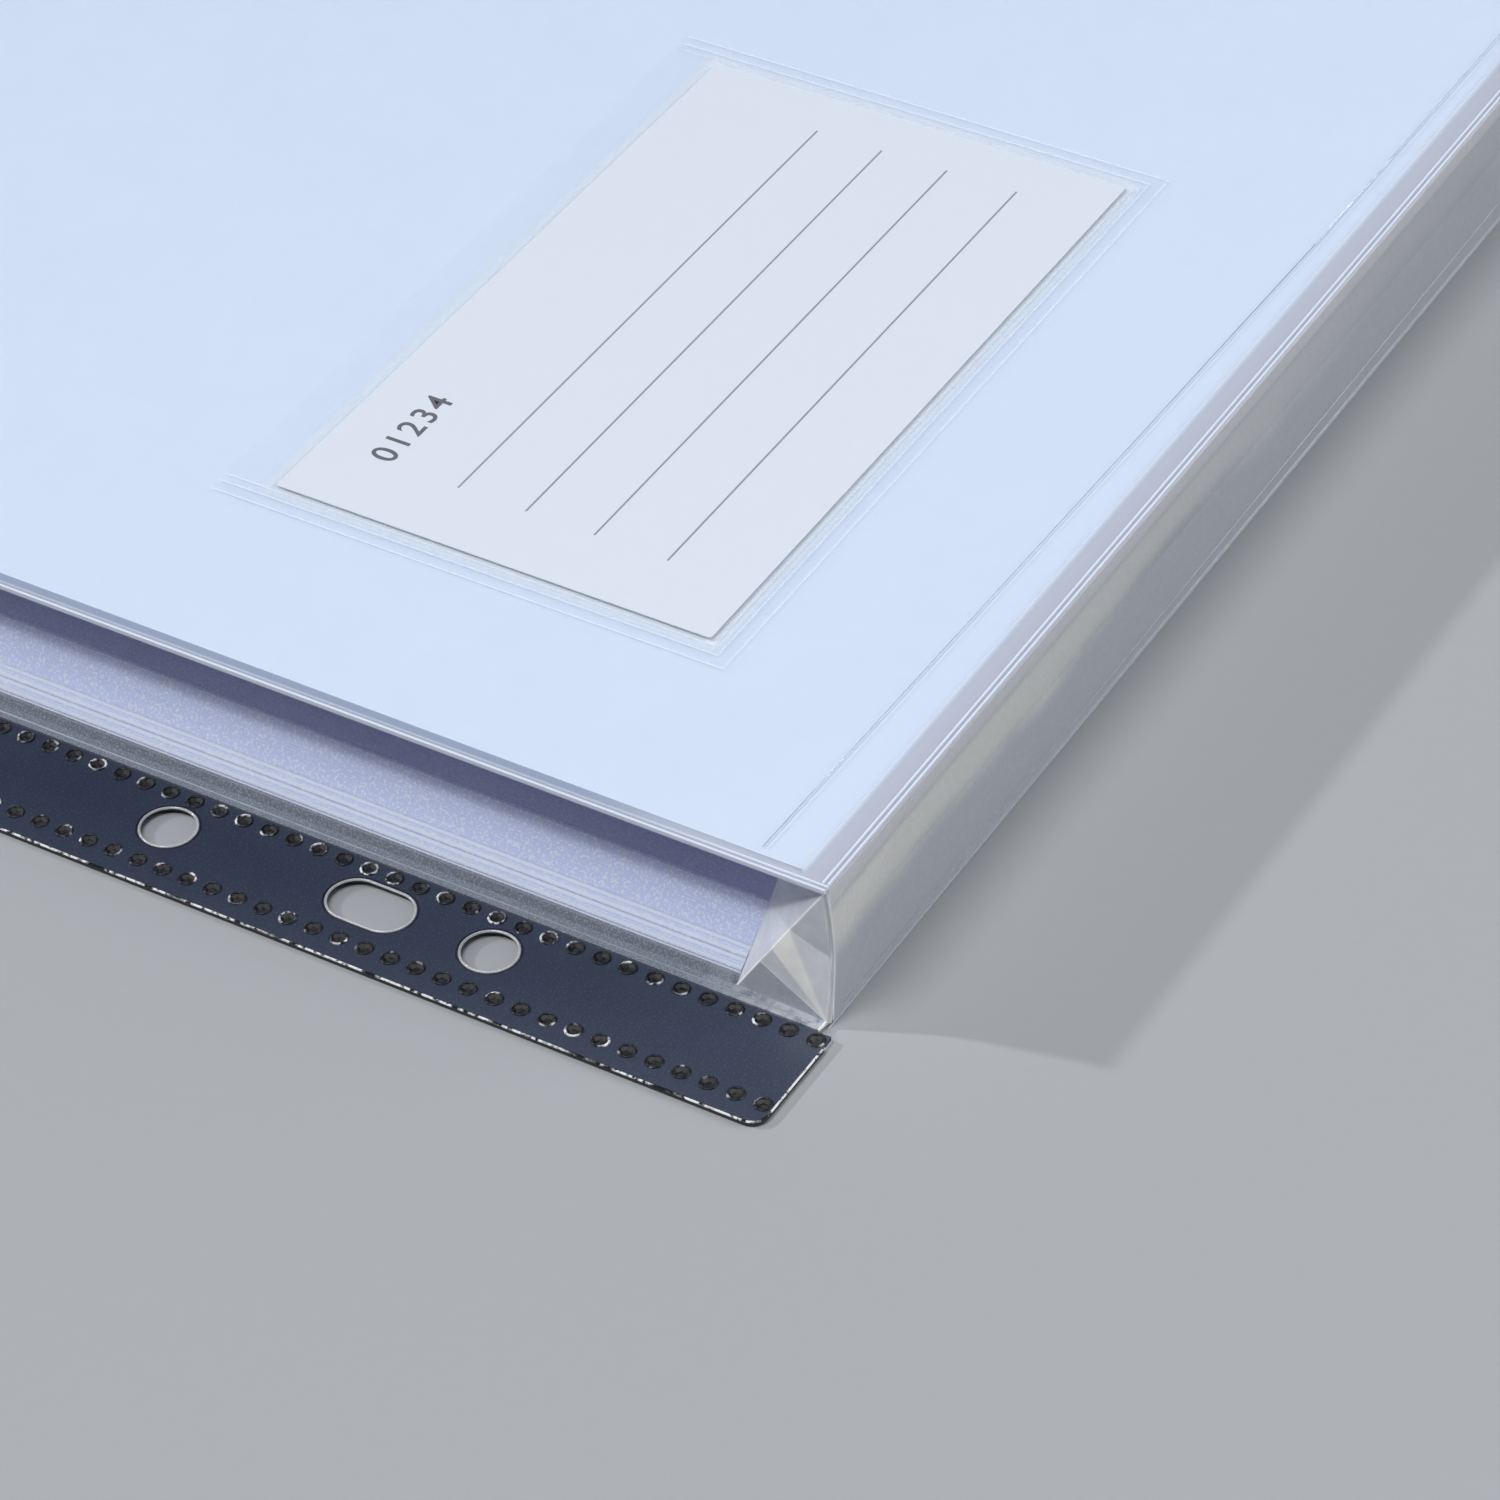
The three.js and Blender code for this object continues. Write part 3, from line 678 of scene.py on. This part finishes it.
side_wall("spine_gusset", "spine_wall")
side_wall("far_gusset", "far_wall")
bottom = copy_of("bottom_gusset", "bottom_wall")
keep(bottom, [frosted_film, crease_film], "pocket", "frosted_film", "bottom_gusset")
whiten_folds(bottom, 0.08, 60)

# %% [markdown]
# ## Weld and fold lines
# Fine raised lines show where film was welded or folded: two along the bottom wall's foot, one along
# its top, one beside the binding strip, and two slanting scores on the front panel where an inner sheet
# was pressed into it. Each is a six-sided rod laid between two places. The upright fold at the corner is
# dented inwards, so it is a curve with a round section.

# %% Weld and fold lines
DENT = 1.93
DENT_HEIGHT = 6.8


def line(name, start, end, radius_mm, finish, flat=1.0):
    first, last = at(*start), at(*end)
    run = last - first
    bpy.ops.mesh.primitive_cylinder_add(
        vertices=6, radius=radius_mm * MM, depth=run.length, location=(first + last) / 2,
        rotation=run.to_track_quat("Z", "Y").to_euler(),
    )
    rod = made(name)
    if flat != 1:
        edit(rod)
        bpy.ops.transform.resize(value=(1, 1, flat), center_override=(first + last) / 2)
        leave()
    select_only(rod)
    bpy.ops.object.shade_smooth()
    return keep(rod, [finish], "pocket", "clear_film")


def fold(name, ends, middle, radius_mm, finish):
    first, last = at(*ends[0]), at(*ends[1])
    middle = at(*middle)
    bpy.ops.curve.primitive_nurbs_path_add(location=(0, 0, 0))
    path = bpy.context.object
    points = path.data.splines[0].points
    stops = [first, first.lerp(middle, 0.55), middle, middle.lerp(last, 0.45), last]
    for point, stop in zip(points, stops):
        point.co = (*stop, 1)
    path.data.bevel_depth = radius_mm * MM
    path.data.bevel_resolution = 2
    bpy.ops.object.convert(target="MESH")
    tube = made(name)
    bpy.ops.object.shade_smooth()
    return keep(tube, [finish], "pocket", "clear_film")


fold("corner_fold", ((0.45, 0.18, 15), (0.45, 0.18, 0.45)), (DENT, 0.2, DENT_HEIGHT), 0.2, fold_film)
# The weld lines share the tuck pleat's finish; on them its white is the whitened weld itself.
line("foot_weld", (0.9, 0.06, 0.42), (221.1, 0.06, 0.42), 0.1, weld_white_and_tuck_painted_light)
line("foot_fold", (2.6, 0.08, 0.95), (221.1, 0.3, 2.9), 0.05, weld_white_and_tuck_painted_light)
line("strip_weld", (-0.35, 1.2, 0.66), (-0.35, 299.5, 0.66), 0.09, weld_white_and_tuck_painted_light, 0.6)
line("top_weld", (0.3, 0.06, 15.05), (221.7, 0.06, 15.05), 0.1, weld_white_and_tuck_painted_light)
line("panel_score", (2.4, 7.2, HEIGHT), (99.3, 5.0, HEIGHT), 0.06, score_film, 0.3)
line("panel_score_far", (99.3, 5.0, HEIGHT), (219.6, 4.2, HEIGHT), 0.1, faint_film, 0.3)

# %% [markdown]
# ## Pressed paper
# The CAD stack is made of blocks with a hair's gap between them. In a pressed stack no gap shows, so a
# copy of each block is drawn down to the one beneath. The uppermost paper presses against the panel
# from inside: its top face is drawn up to the panel and a little outwards, as the stack leans.

# %% Pressed paper
COVER_RISE = 0.74
COVER_LEAN = (0.54, 0.38)
paper = sorted((name for name in nodes if "ream" in name or "sheet" in name), key=lambda n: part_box(n)[0].z)
for lower, upper in zip(paper, paper[1:]):
    if "thin" in upper:
        continue
    block = copy_of(upper, upper + "_pressed")
    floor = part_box(upper)[0].z
    gap = (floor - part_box(lower)[1].z) / MM - HAIR
    move(block, lambda place: place.z < floor + CLOSE * MM, z=-gap)
    keep(block, [blue_paper], "pocket", "blue_paper", upper)

cover = bpy.data.objects["cover_sheet_pressed"]
below_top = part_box("cover_sheet")[1].z - CLOSE * MM
move(cover, lambda place: place.z > below_top, z=COVER_RISE)
move(cover, lambda place: place.z > below_top and place.x < 0, x=-COVER_LEAN[0])
move(cover, lambda place: place.z > below_top and place.y < 0, y=-COVER_LEAN[1])
print("cover sheet reaches", round(max(v.co.z for v in cover.data.vertices) / MM, 2), "mm")

# %% [markdown]
# ## Label pocket
# The pocket is one thin sheet that is welded to the panel round three sides, and lies over the card. A
# grid gets its columns and rows where the sheet bends, because an even grid would need hundreds of
# them. Its height follows the distance from the weld: two fine ridges, a flat weld, and then the step
# over the card.

# %% Label pocket
OPEN_EDGE = 4
pocket_low, pocket_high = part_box("label_pocket")
pocket_base = HEIGHT + 0.04
WELD_STEPS = [0, 0.08, 0.2, 0.32, 1.3, 1.4, 1.52, 1.64, 2.35, 2.5, 2.7, 2.9, 3.05]
WELD_RISE = [0, 0.015, 0.035, 0, 0, 0.015, 0.035, 0, 0, 0.03, 0.1, 0.15, 0.16]


def rise(distance):
    for i in range(1, len(WELD_STEPS)):
        if distance <= WELD_STEPS[i]:
            share = (distance - WELD_STEPS[i - 1]) / (WELD_STEPS[i] - WELD_STEPS[i - 1])
            return WELD_RISE[i - 1] + share * (WELD_RISE[i] - WELD_RISE[i - 1])
    return WELD_RISE[-1]


columns = [pocket_low.x + d * MM for d in WELD_STEPS] + [pocket_high.x - d * MM for d in reversed(WELD_STEPS)]
rows = [pocket_low.y + d * MM for d in WELD_STEPS] + [pocket_high.y - OPEN_EDGE * MM, pocket_high.y]
bpy.ops.mesh.primitive_grid_add(x_subdivisions=len(columns) - 1, y_subdivisions=len(rows) - 1, size=2)
sheet = made("pocket_sheet")
for vertex in sheet.data.vertices:
    column = round((vertex.co.x + 1) / 2 * (len(columns) - 1))
    row = round((vertex.co.y + 1) / 2 * (len(rows) - 1))
    x, y = columns[column], rows[row]
    from_weld = min(x - pocket_low.x, pocket_high.x - x, y - pocket_low.y) / MM
    vertex.co = Vector((x, y, (pocket_base + rise(from_weld)) * MM))
select_only(sheet)
bpy.ops.object.shade_smooth()
keep(sheet, [pocket_film], "pocket", "clear_film", "label_pocket")

# %% [markdown]
# ## Worn edge of the binding strip
# The strip's outer edge is a fine bead of melted film. It follows the outline of a copy of the backing:
# everything but the top outline is deleted, and the rest becomes a round wire.

# %% Strip edge
STRIP_INNER = -2.5
HOLE_LINE = -6
HOLE_RADIUS = 2.9
HOLES_START = 9
BEAD_RADIUS = 0.11
BEAD_LIFT = 0.2
bead = copy_of("binding_backing", "strip_edge")
edit(bead)
inner_side = at(STRIP_INNER, 0, 0).x


def on_outline(e):
    """True for the top edges of the outline, apart from the side that faces the pocket and the holes."""
    a, b = [v.co for v in e.verts]
    flat = min(a.z, b.z) > (FILM - 0.02) * MM
    border = len({round(face.normal.z) for face in e.link_faces}) > 1
    middle = ((a + b) / 2 - at(HOLE_LINE, 0, 0)) / MM
    at_hole = abs(middle.x) < HOLE_RADIUS + 0.2 and HOLES_START < middle.y < STRIP_LENGTH - HOLES_START
    outside = max(a.x, b.x) <= inner_side + 0.1 * MM and min(a.x, b.x) < inner_side - 0.1 * MM
    return flat and border and not at_hole and outside


select_edges(bead, on_outline)
bpy.ops.mesh.select_all(action="INVERT")
bpy.ops.mesh.delete(type="EDGE")
leave()
select_only(bead)
bpy.ops.object.convert(target="CURVE")
bead = bpy.context.object
bead.data.bevel_depth = BEAD_RADIUS * MM
bead.data.bevel_resolution = 1
bpy.ops.object.convert(target="MESH")
bead = bpy.context.object
edit(bead)
bpy.ops.transform.translate(value=(0, 0, BEAD_LIFT * MM))
leave()
keep(bead, [worn_edge_and_highlight_film], "pocket", "clear_film")

# %% [markdown]
# ## Hole rims
# The holes are cut hot, and the molten film draws in to a rounded rim. Each rim is a torus on a flat
# collar that reaches from the rim to the cut. For a slot both halves are drawn apart, which keeps the
# rim's round section all the way.

# %% Hole rims
ROUND_HOLES = [0, 56, 87, 120]
SLOTS = [37.5, 108]
SLOT_STRETCH = 1.55
RIM_RADIUS = 2.55
RIM_WIRE = 0.12
COLLAR_RADIUS = 2.78
COLLAR_WIRE = 0.24
COLLAR_HEIGHT = 0.42


def ring(name, offset, slot, major, minor, flat, height):
    spot = at(HOLE_LINE, STRIP_MIDDLE + offset, height)
    bpy.ops.mesh.primitive_torus_add(
        major_radius=major * MM, minor_radius=minor * MM, major_segments=48, minor_segments=8, location=spot,
    )
    obj = made(name)
    edit(obj)
    bpy.ops.transform.resize(value=(1, 1, flat), center_override=spot)
    leave()
    if slot:
        move(obj, lambda place: place.y > spot.y + CLOSE * MM, y=SLOT_STRETCH)
        move(obj, lambda place: place.y < spot.y - CLOSE * MM, y=-SLOT_STRETCH)
    select_only(obj)
    bpy.ops.object.shade_smooth()
    return obj


def joined(objs, name):
    bpy.ops.object.select_all(action="DESELECT")
    for obj in objs:
        obj.select_set(True)
    bpy.context.view_layer.objects.active = objs[0]
    bpy.ops.object.join()
    objs[0].name = name
    return objs[0]


offsets = ROUND_HOLES + SLOTS
places = [(way * offset, offset in SLOTS) for offset in offsets for way in ((1, -1) if offset else (1,))]
rims = [ring("rim", place, slot, RIM_RADIUS, RIM_WIRE, 1, STRIP_TOP + 0.02) for place, slot in places]
collars = [
    ring("collar", place, slot, COLLAR_RADIUS, COLLAR_WIRE, 0.9, COLLAR_HEIGHT) for place, slot in places
]
keep(joined(rims, "hole_rims"), [rim_film], "pocket", "clear_film")
keep(joined(collars, "hole_collars"), [navy_lip_and_painted_shadow], "pocket", "navy_film")

# %% [markdown]
# ## Weld spots
# Each spot is a pit with a raised, glossy lip. The pits are in the CAD strip. One lip is modelled for
# a row, and an array repeats it along the strip, because a piece for each would be hundreds of objects.

# %% Weld spot lips
SPOT_PITCH = 2.6
SPOT_RADIUS = 0.72
SPOT_ROWS = {"inner": -2.15, "outer": -10.7}
ENDS_BARE = 1.7
LIP_WIRE = 0.12


def spot_row(name, line_x):
    count = int((STRIP_LENGTH - ENDS_BARE) / SPOT_PITCH) + 1
    first = STRIP_MIDDLE - (count - 1) * SPOT_PITCH / 2
    spot = at(line_x, first, STRIP_TOP)
    bpy.ops.mesh.primitive_torus_add(
        major_radius=(SPOT_RADIUS + 0.02) * MM, minor_radius=LIP_WIRE * MM, major_segments=12,
        minor_segments=6, location=spot,
    )
    lips = made(name)
    select_only(lips)
    bpy.ops.object.shade_smooth()
    array = lips.modifiers.new("row", "ARRAY")
    array.count = count
    array.use_relative_offset = False
    array.use_constant_offset = True
    array.constant_offset_displace = (0, SPOT_PITCH * MM, 0)
    bpy.ops.object.modifier_apply(modifier="row")
    return keep(lips, [lip_highlight_film], "pocket", "navy_film")


for row, line_x in SPOT_ROWS.items():
    spot_row(f"{row}_spot_lips", line_x)

# %% [markdown]
# ## Card and its number
# The card is a copy of the CAD one, with its top pressed down under its sheet. The ruled lines are in
# its finish. Its heading place holds plain numerals, as flat printed shapes: text makes better figures
# than a pattern could.

# %% Card
THINNER = 0.12
CARD_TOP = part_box("label_card")[1].z
card = copy_of("label_card", "paper_card")
move(card, lambda place: place.z > CARD_TOP - CLOSE * MM, z=-THINNER)
keep(card, [white_card], "card", "white_card", "label_card")

# %% Number on the card
FIGURE_PLACE = (30.6, 62.3)
FIGURE_SIZE = 3.6
BOLDER = 0.035
PRINT = 0.004
PRINT_LIFT = 0.006
bpy.ops.object.text_add(location=at(*FIGURE_PLACE, 0))
number = bpy.context.object
number.data.body = "01234"
number.data.size = FIGURE_SIZE * MM
number.data.space_character = 1.2
number.data.offset = BOLDER * MM
number.data.extrude = PRINT * MM
number.location.z = CARD_TOP - THINNER * MM + PRINT_LIFT * MM
bpy.ops.object.convert(target="MESH")
number = made("card_number")
ink = Finish("ink")
shader = ink.node(
    "ShaderNodeBsdfPrincipled",
    Base_Color=ink.blend(ink.noise(2500, 2), colour(0.07, 0.075, 0.09), colour(0.1, 0.105, 0.12)),
    Roughness=0.6,
)
keep(number, [ink.done(shader)], "card", "white_card")
print("number is", [round(v * 1000, 2) for v in number.dimensions], "mm")

# %% [markdown]
# ## Flap creases
# The flap is one sheet with the back panel. Between the CAD's stiff parts lies a short bend of film.
# It could be a bevelled box, but a flat face spun by a quarter turn gives an even bend at once.

# %% Flap creases
MID = WIDTH / 2
GAP = 0.3
CREASE_INSET = 2


def crease(name, middle, tilt, centre, turn, start, end):
    bpy.ops.mesh.primitive_plane_add(size=1, location=middle, rotation=(tilt, 0, 0))
    bpy.context.object.scale = ((WIDTH - 2 * CREASE_INSET) * MM, FILM * MM, 1)
    strip = made(name)
    edit(strip)
    bpy.ops.mesh.spin(steps=8, angle=turn, center=centre, axis=(1, 0, 0))
    bpy.ops.mesh.select_all(action="SELECT")
    bpy.ops.mesh.remove_doubles(threshold=0.0005 * MM)
    bpy.ops.mesh.normals_make_consistent(inside=False)
    leave()
    keep(strip, [clear_film], None, "clear_film")
    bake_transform(strip)
    low_corner = [min(v.co[i] for v in strip.data.vertices) for i in range(3)]
    print("   from", [round(v * 1000, 2) for v in Vector(low_corner) - at(0, 0, 0)])


crease(
    "lower_crease",
    at(MID, LENGTH - GAP, FILM / 2),
    math.pi / 2,
    at(MID, LENGTH - GAP, FILM / 2 + GAP),
    math.pi / 2,
    at(MID, LENGTH - GAP, FILM / 2),
    at(MID, LENGTH, FILM / 2 + GAP),
)
crease(
    "upper_crease",
    at(MID, LENGTH, HEIGHT),
    0,
    at(MID, LENGTH - GAP, HEIGHT),
    math.radians(86.5),
    at(MID, LENGTH, HEIGHT),
    at(MID, LENGTH - GAP, HEIGHT + GAP),
)

# %% [markdown]
# ## Snap cap
# The cap on the lid is a dome with a shallow ring pressed into it. The CAD cap has the right shape, so
# a merged copy of it is only shaded smooth, and its sharp steps stay sharp.

# %% Snap cap
cap = copy_of("snap_cap", "snap_dome")
edit(cap)
bpy.ops.mesh.dissolve_limited(angle_limit=math.radians(1))
leave()
select_only(cap)
bpy.ops.object.shade_smooth_by_angle(angle=math.radians(35))
keep(cap, [snap_plastic], "lid", "snap_plastic", "snap_cap")

# %% [markdown]
# ## Finishes on the CAD pieces
# The nodes that no piece above stands for keep their CAD shape and take their finish in their own slots.

# %% CAD finishes
finishes = {
    "back_panel": clear_film,
    "front_panel": panel_film,
    # The backing's rim is clear film in this dark finish: it carries the strip's colour and paints its shadow
    # line.
    "binding_backing": navy_lip_and_painted_shadow,
    "flap_bridge": clear_film,
    "flap_lid": clear_film,
    "binding_strip": navy_film,
    "snap_socket": snap_plastic,
    "snap_stud": snap_plastic,
    "snap_rivet": snap_plastic,
}
finishes.update({name: loose_paper for name in nodes if "thin" in name})
for name, finish in finishes.items():
    node = nodes[name]
    node.data.materials.clear()
    node.data.materials.append(finish)
    node.material_slots[0].material = finish
print(len(finishes), "CAD nodes finished")

# %% [markdown]
# ## Stage
# A plain grey table and three lights: a key light like a low sun beyond the mouth, a small soft box
# above the binding strip and a broad one in front of the bottom wall. The camera and mirrors see a pale
# backdrop, but hardly any light comes from it.

# %% Table
TABLE_DROP = 0.06


def table_finish():
    f = Finish("table")
    tint = f.blend(f.noise(700, 3), colour(0.328, 0.341, 0.361), colour(0.336, 0.349, 0.369))
    grain = f.bump(f.noise(900, 3), 0.01)
    return f.done(f.node("ShaderNodeBsdfPrincipled", Base_Color=tint, Roughness=0.6, Normal=grain))


bpy.ops.mesh.primitive_plane_add(size=8, location=(0, 0, -TABLE_DROP * MM))
table = bpy.context.object
table.name = "table"
table.data.materials.append(table_finish())
print("table", table.dimensions.x, "m wide")

# %% Lights
TOWARDS_LIGHT = Vector((-0.25, 0.8, 0.547)).normalized()
bpy.ops.object.light_add(type="SUN", location=TOWARDS_LIGHT)
key = bpy.context.object
key.name = "key"
key.data.energy = 1.46
key.data.angle = math.radians(2.5)
key.rotation_euler = TOWARDS_LIGHT.to_track_quat("Z", "Y").to_euler()


def softbox(name, towards, distance, size, energy):
    place = Vector(towards).normalized() * distance
    bpy.ops.object.light_add(type="AREA", location=place)
    box = bpy.context.object
    box.name = name
    box.data.shape = "SQUARE"
    box.data.size = size
    box.data.energy = energy
    box.rotation_euler = place.to_track_quat("Z", "Y").to_euler()
    return box


side = softbox("side", (-0.43, 0.03, 0.9), 1.3, 0.5, 10.6)
front = softbox("front", (0.3, -0.8, 0.5), 1.4, 0.9, 12.6)
print("lights", key.name, side.name, front.name)

# %% Backdrop
world = bpy.data.worlds.new("studio")
bpy.context.scene.world = world
world.use_nodes = True
tree = world.node_tree
tree.nodes.clear()


def backdrop(tint, strength):
    node = tree.nodes.new("ShaderNodeBackground")
    node.inputs["Color"].default_value = tint
    node.inputs["Strength"].default_value = strength
    return node.outputs[0]


rays = tree.nodes.new("ShaderNodeLightPath").outputs
pick = tree.nodes.new("ShaderNodeMixShader")
plug(tree, Wire(tree, rays["Is Camera Ray"]).most(Wire(tree, rays["Is Glossy Ray"])), pick.inputs[0])
tree.links.new(backdrop(colour(0.62, 0.66, 0.74), 0.05), pick.inputs[1])
tree.links.new(backdrop(colour(0.5, 0.52, 0.55), 1.0), pick.inputs[2])
tree.links.new(pick.outputs[0], tree.nodes.new("ShaderNodeOutputWorld").inputs[0])

# %% Camera
# The place, in millimetres, and the turns, in degrees, were fitted to the photo's edges and holes.
EYE = (-280.44, -170.87, 311.26)
TURNS = (49.4646, 1.8814, -59.2966)
bpy.ops.object.camera_add(location=at(*EYE), rotation=[math.radians(turn) for turn in TURNS])
camera = bpy.context.object
camera.data.sensor_width = 36
camera.data.lens = 131.43
camera.data.clip_start = 0.01
bpy.context.scene.camera = camera
bpy.context.scene.view_settings.view_transform = "Standard"
print("camera at", [round(v, 3) for v in camera.location])
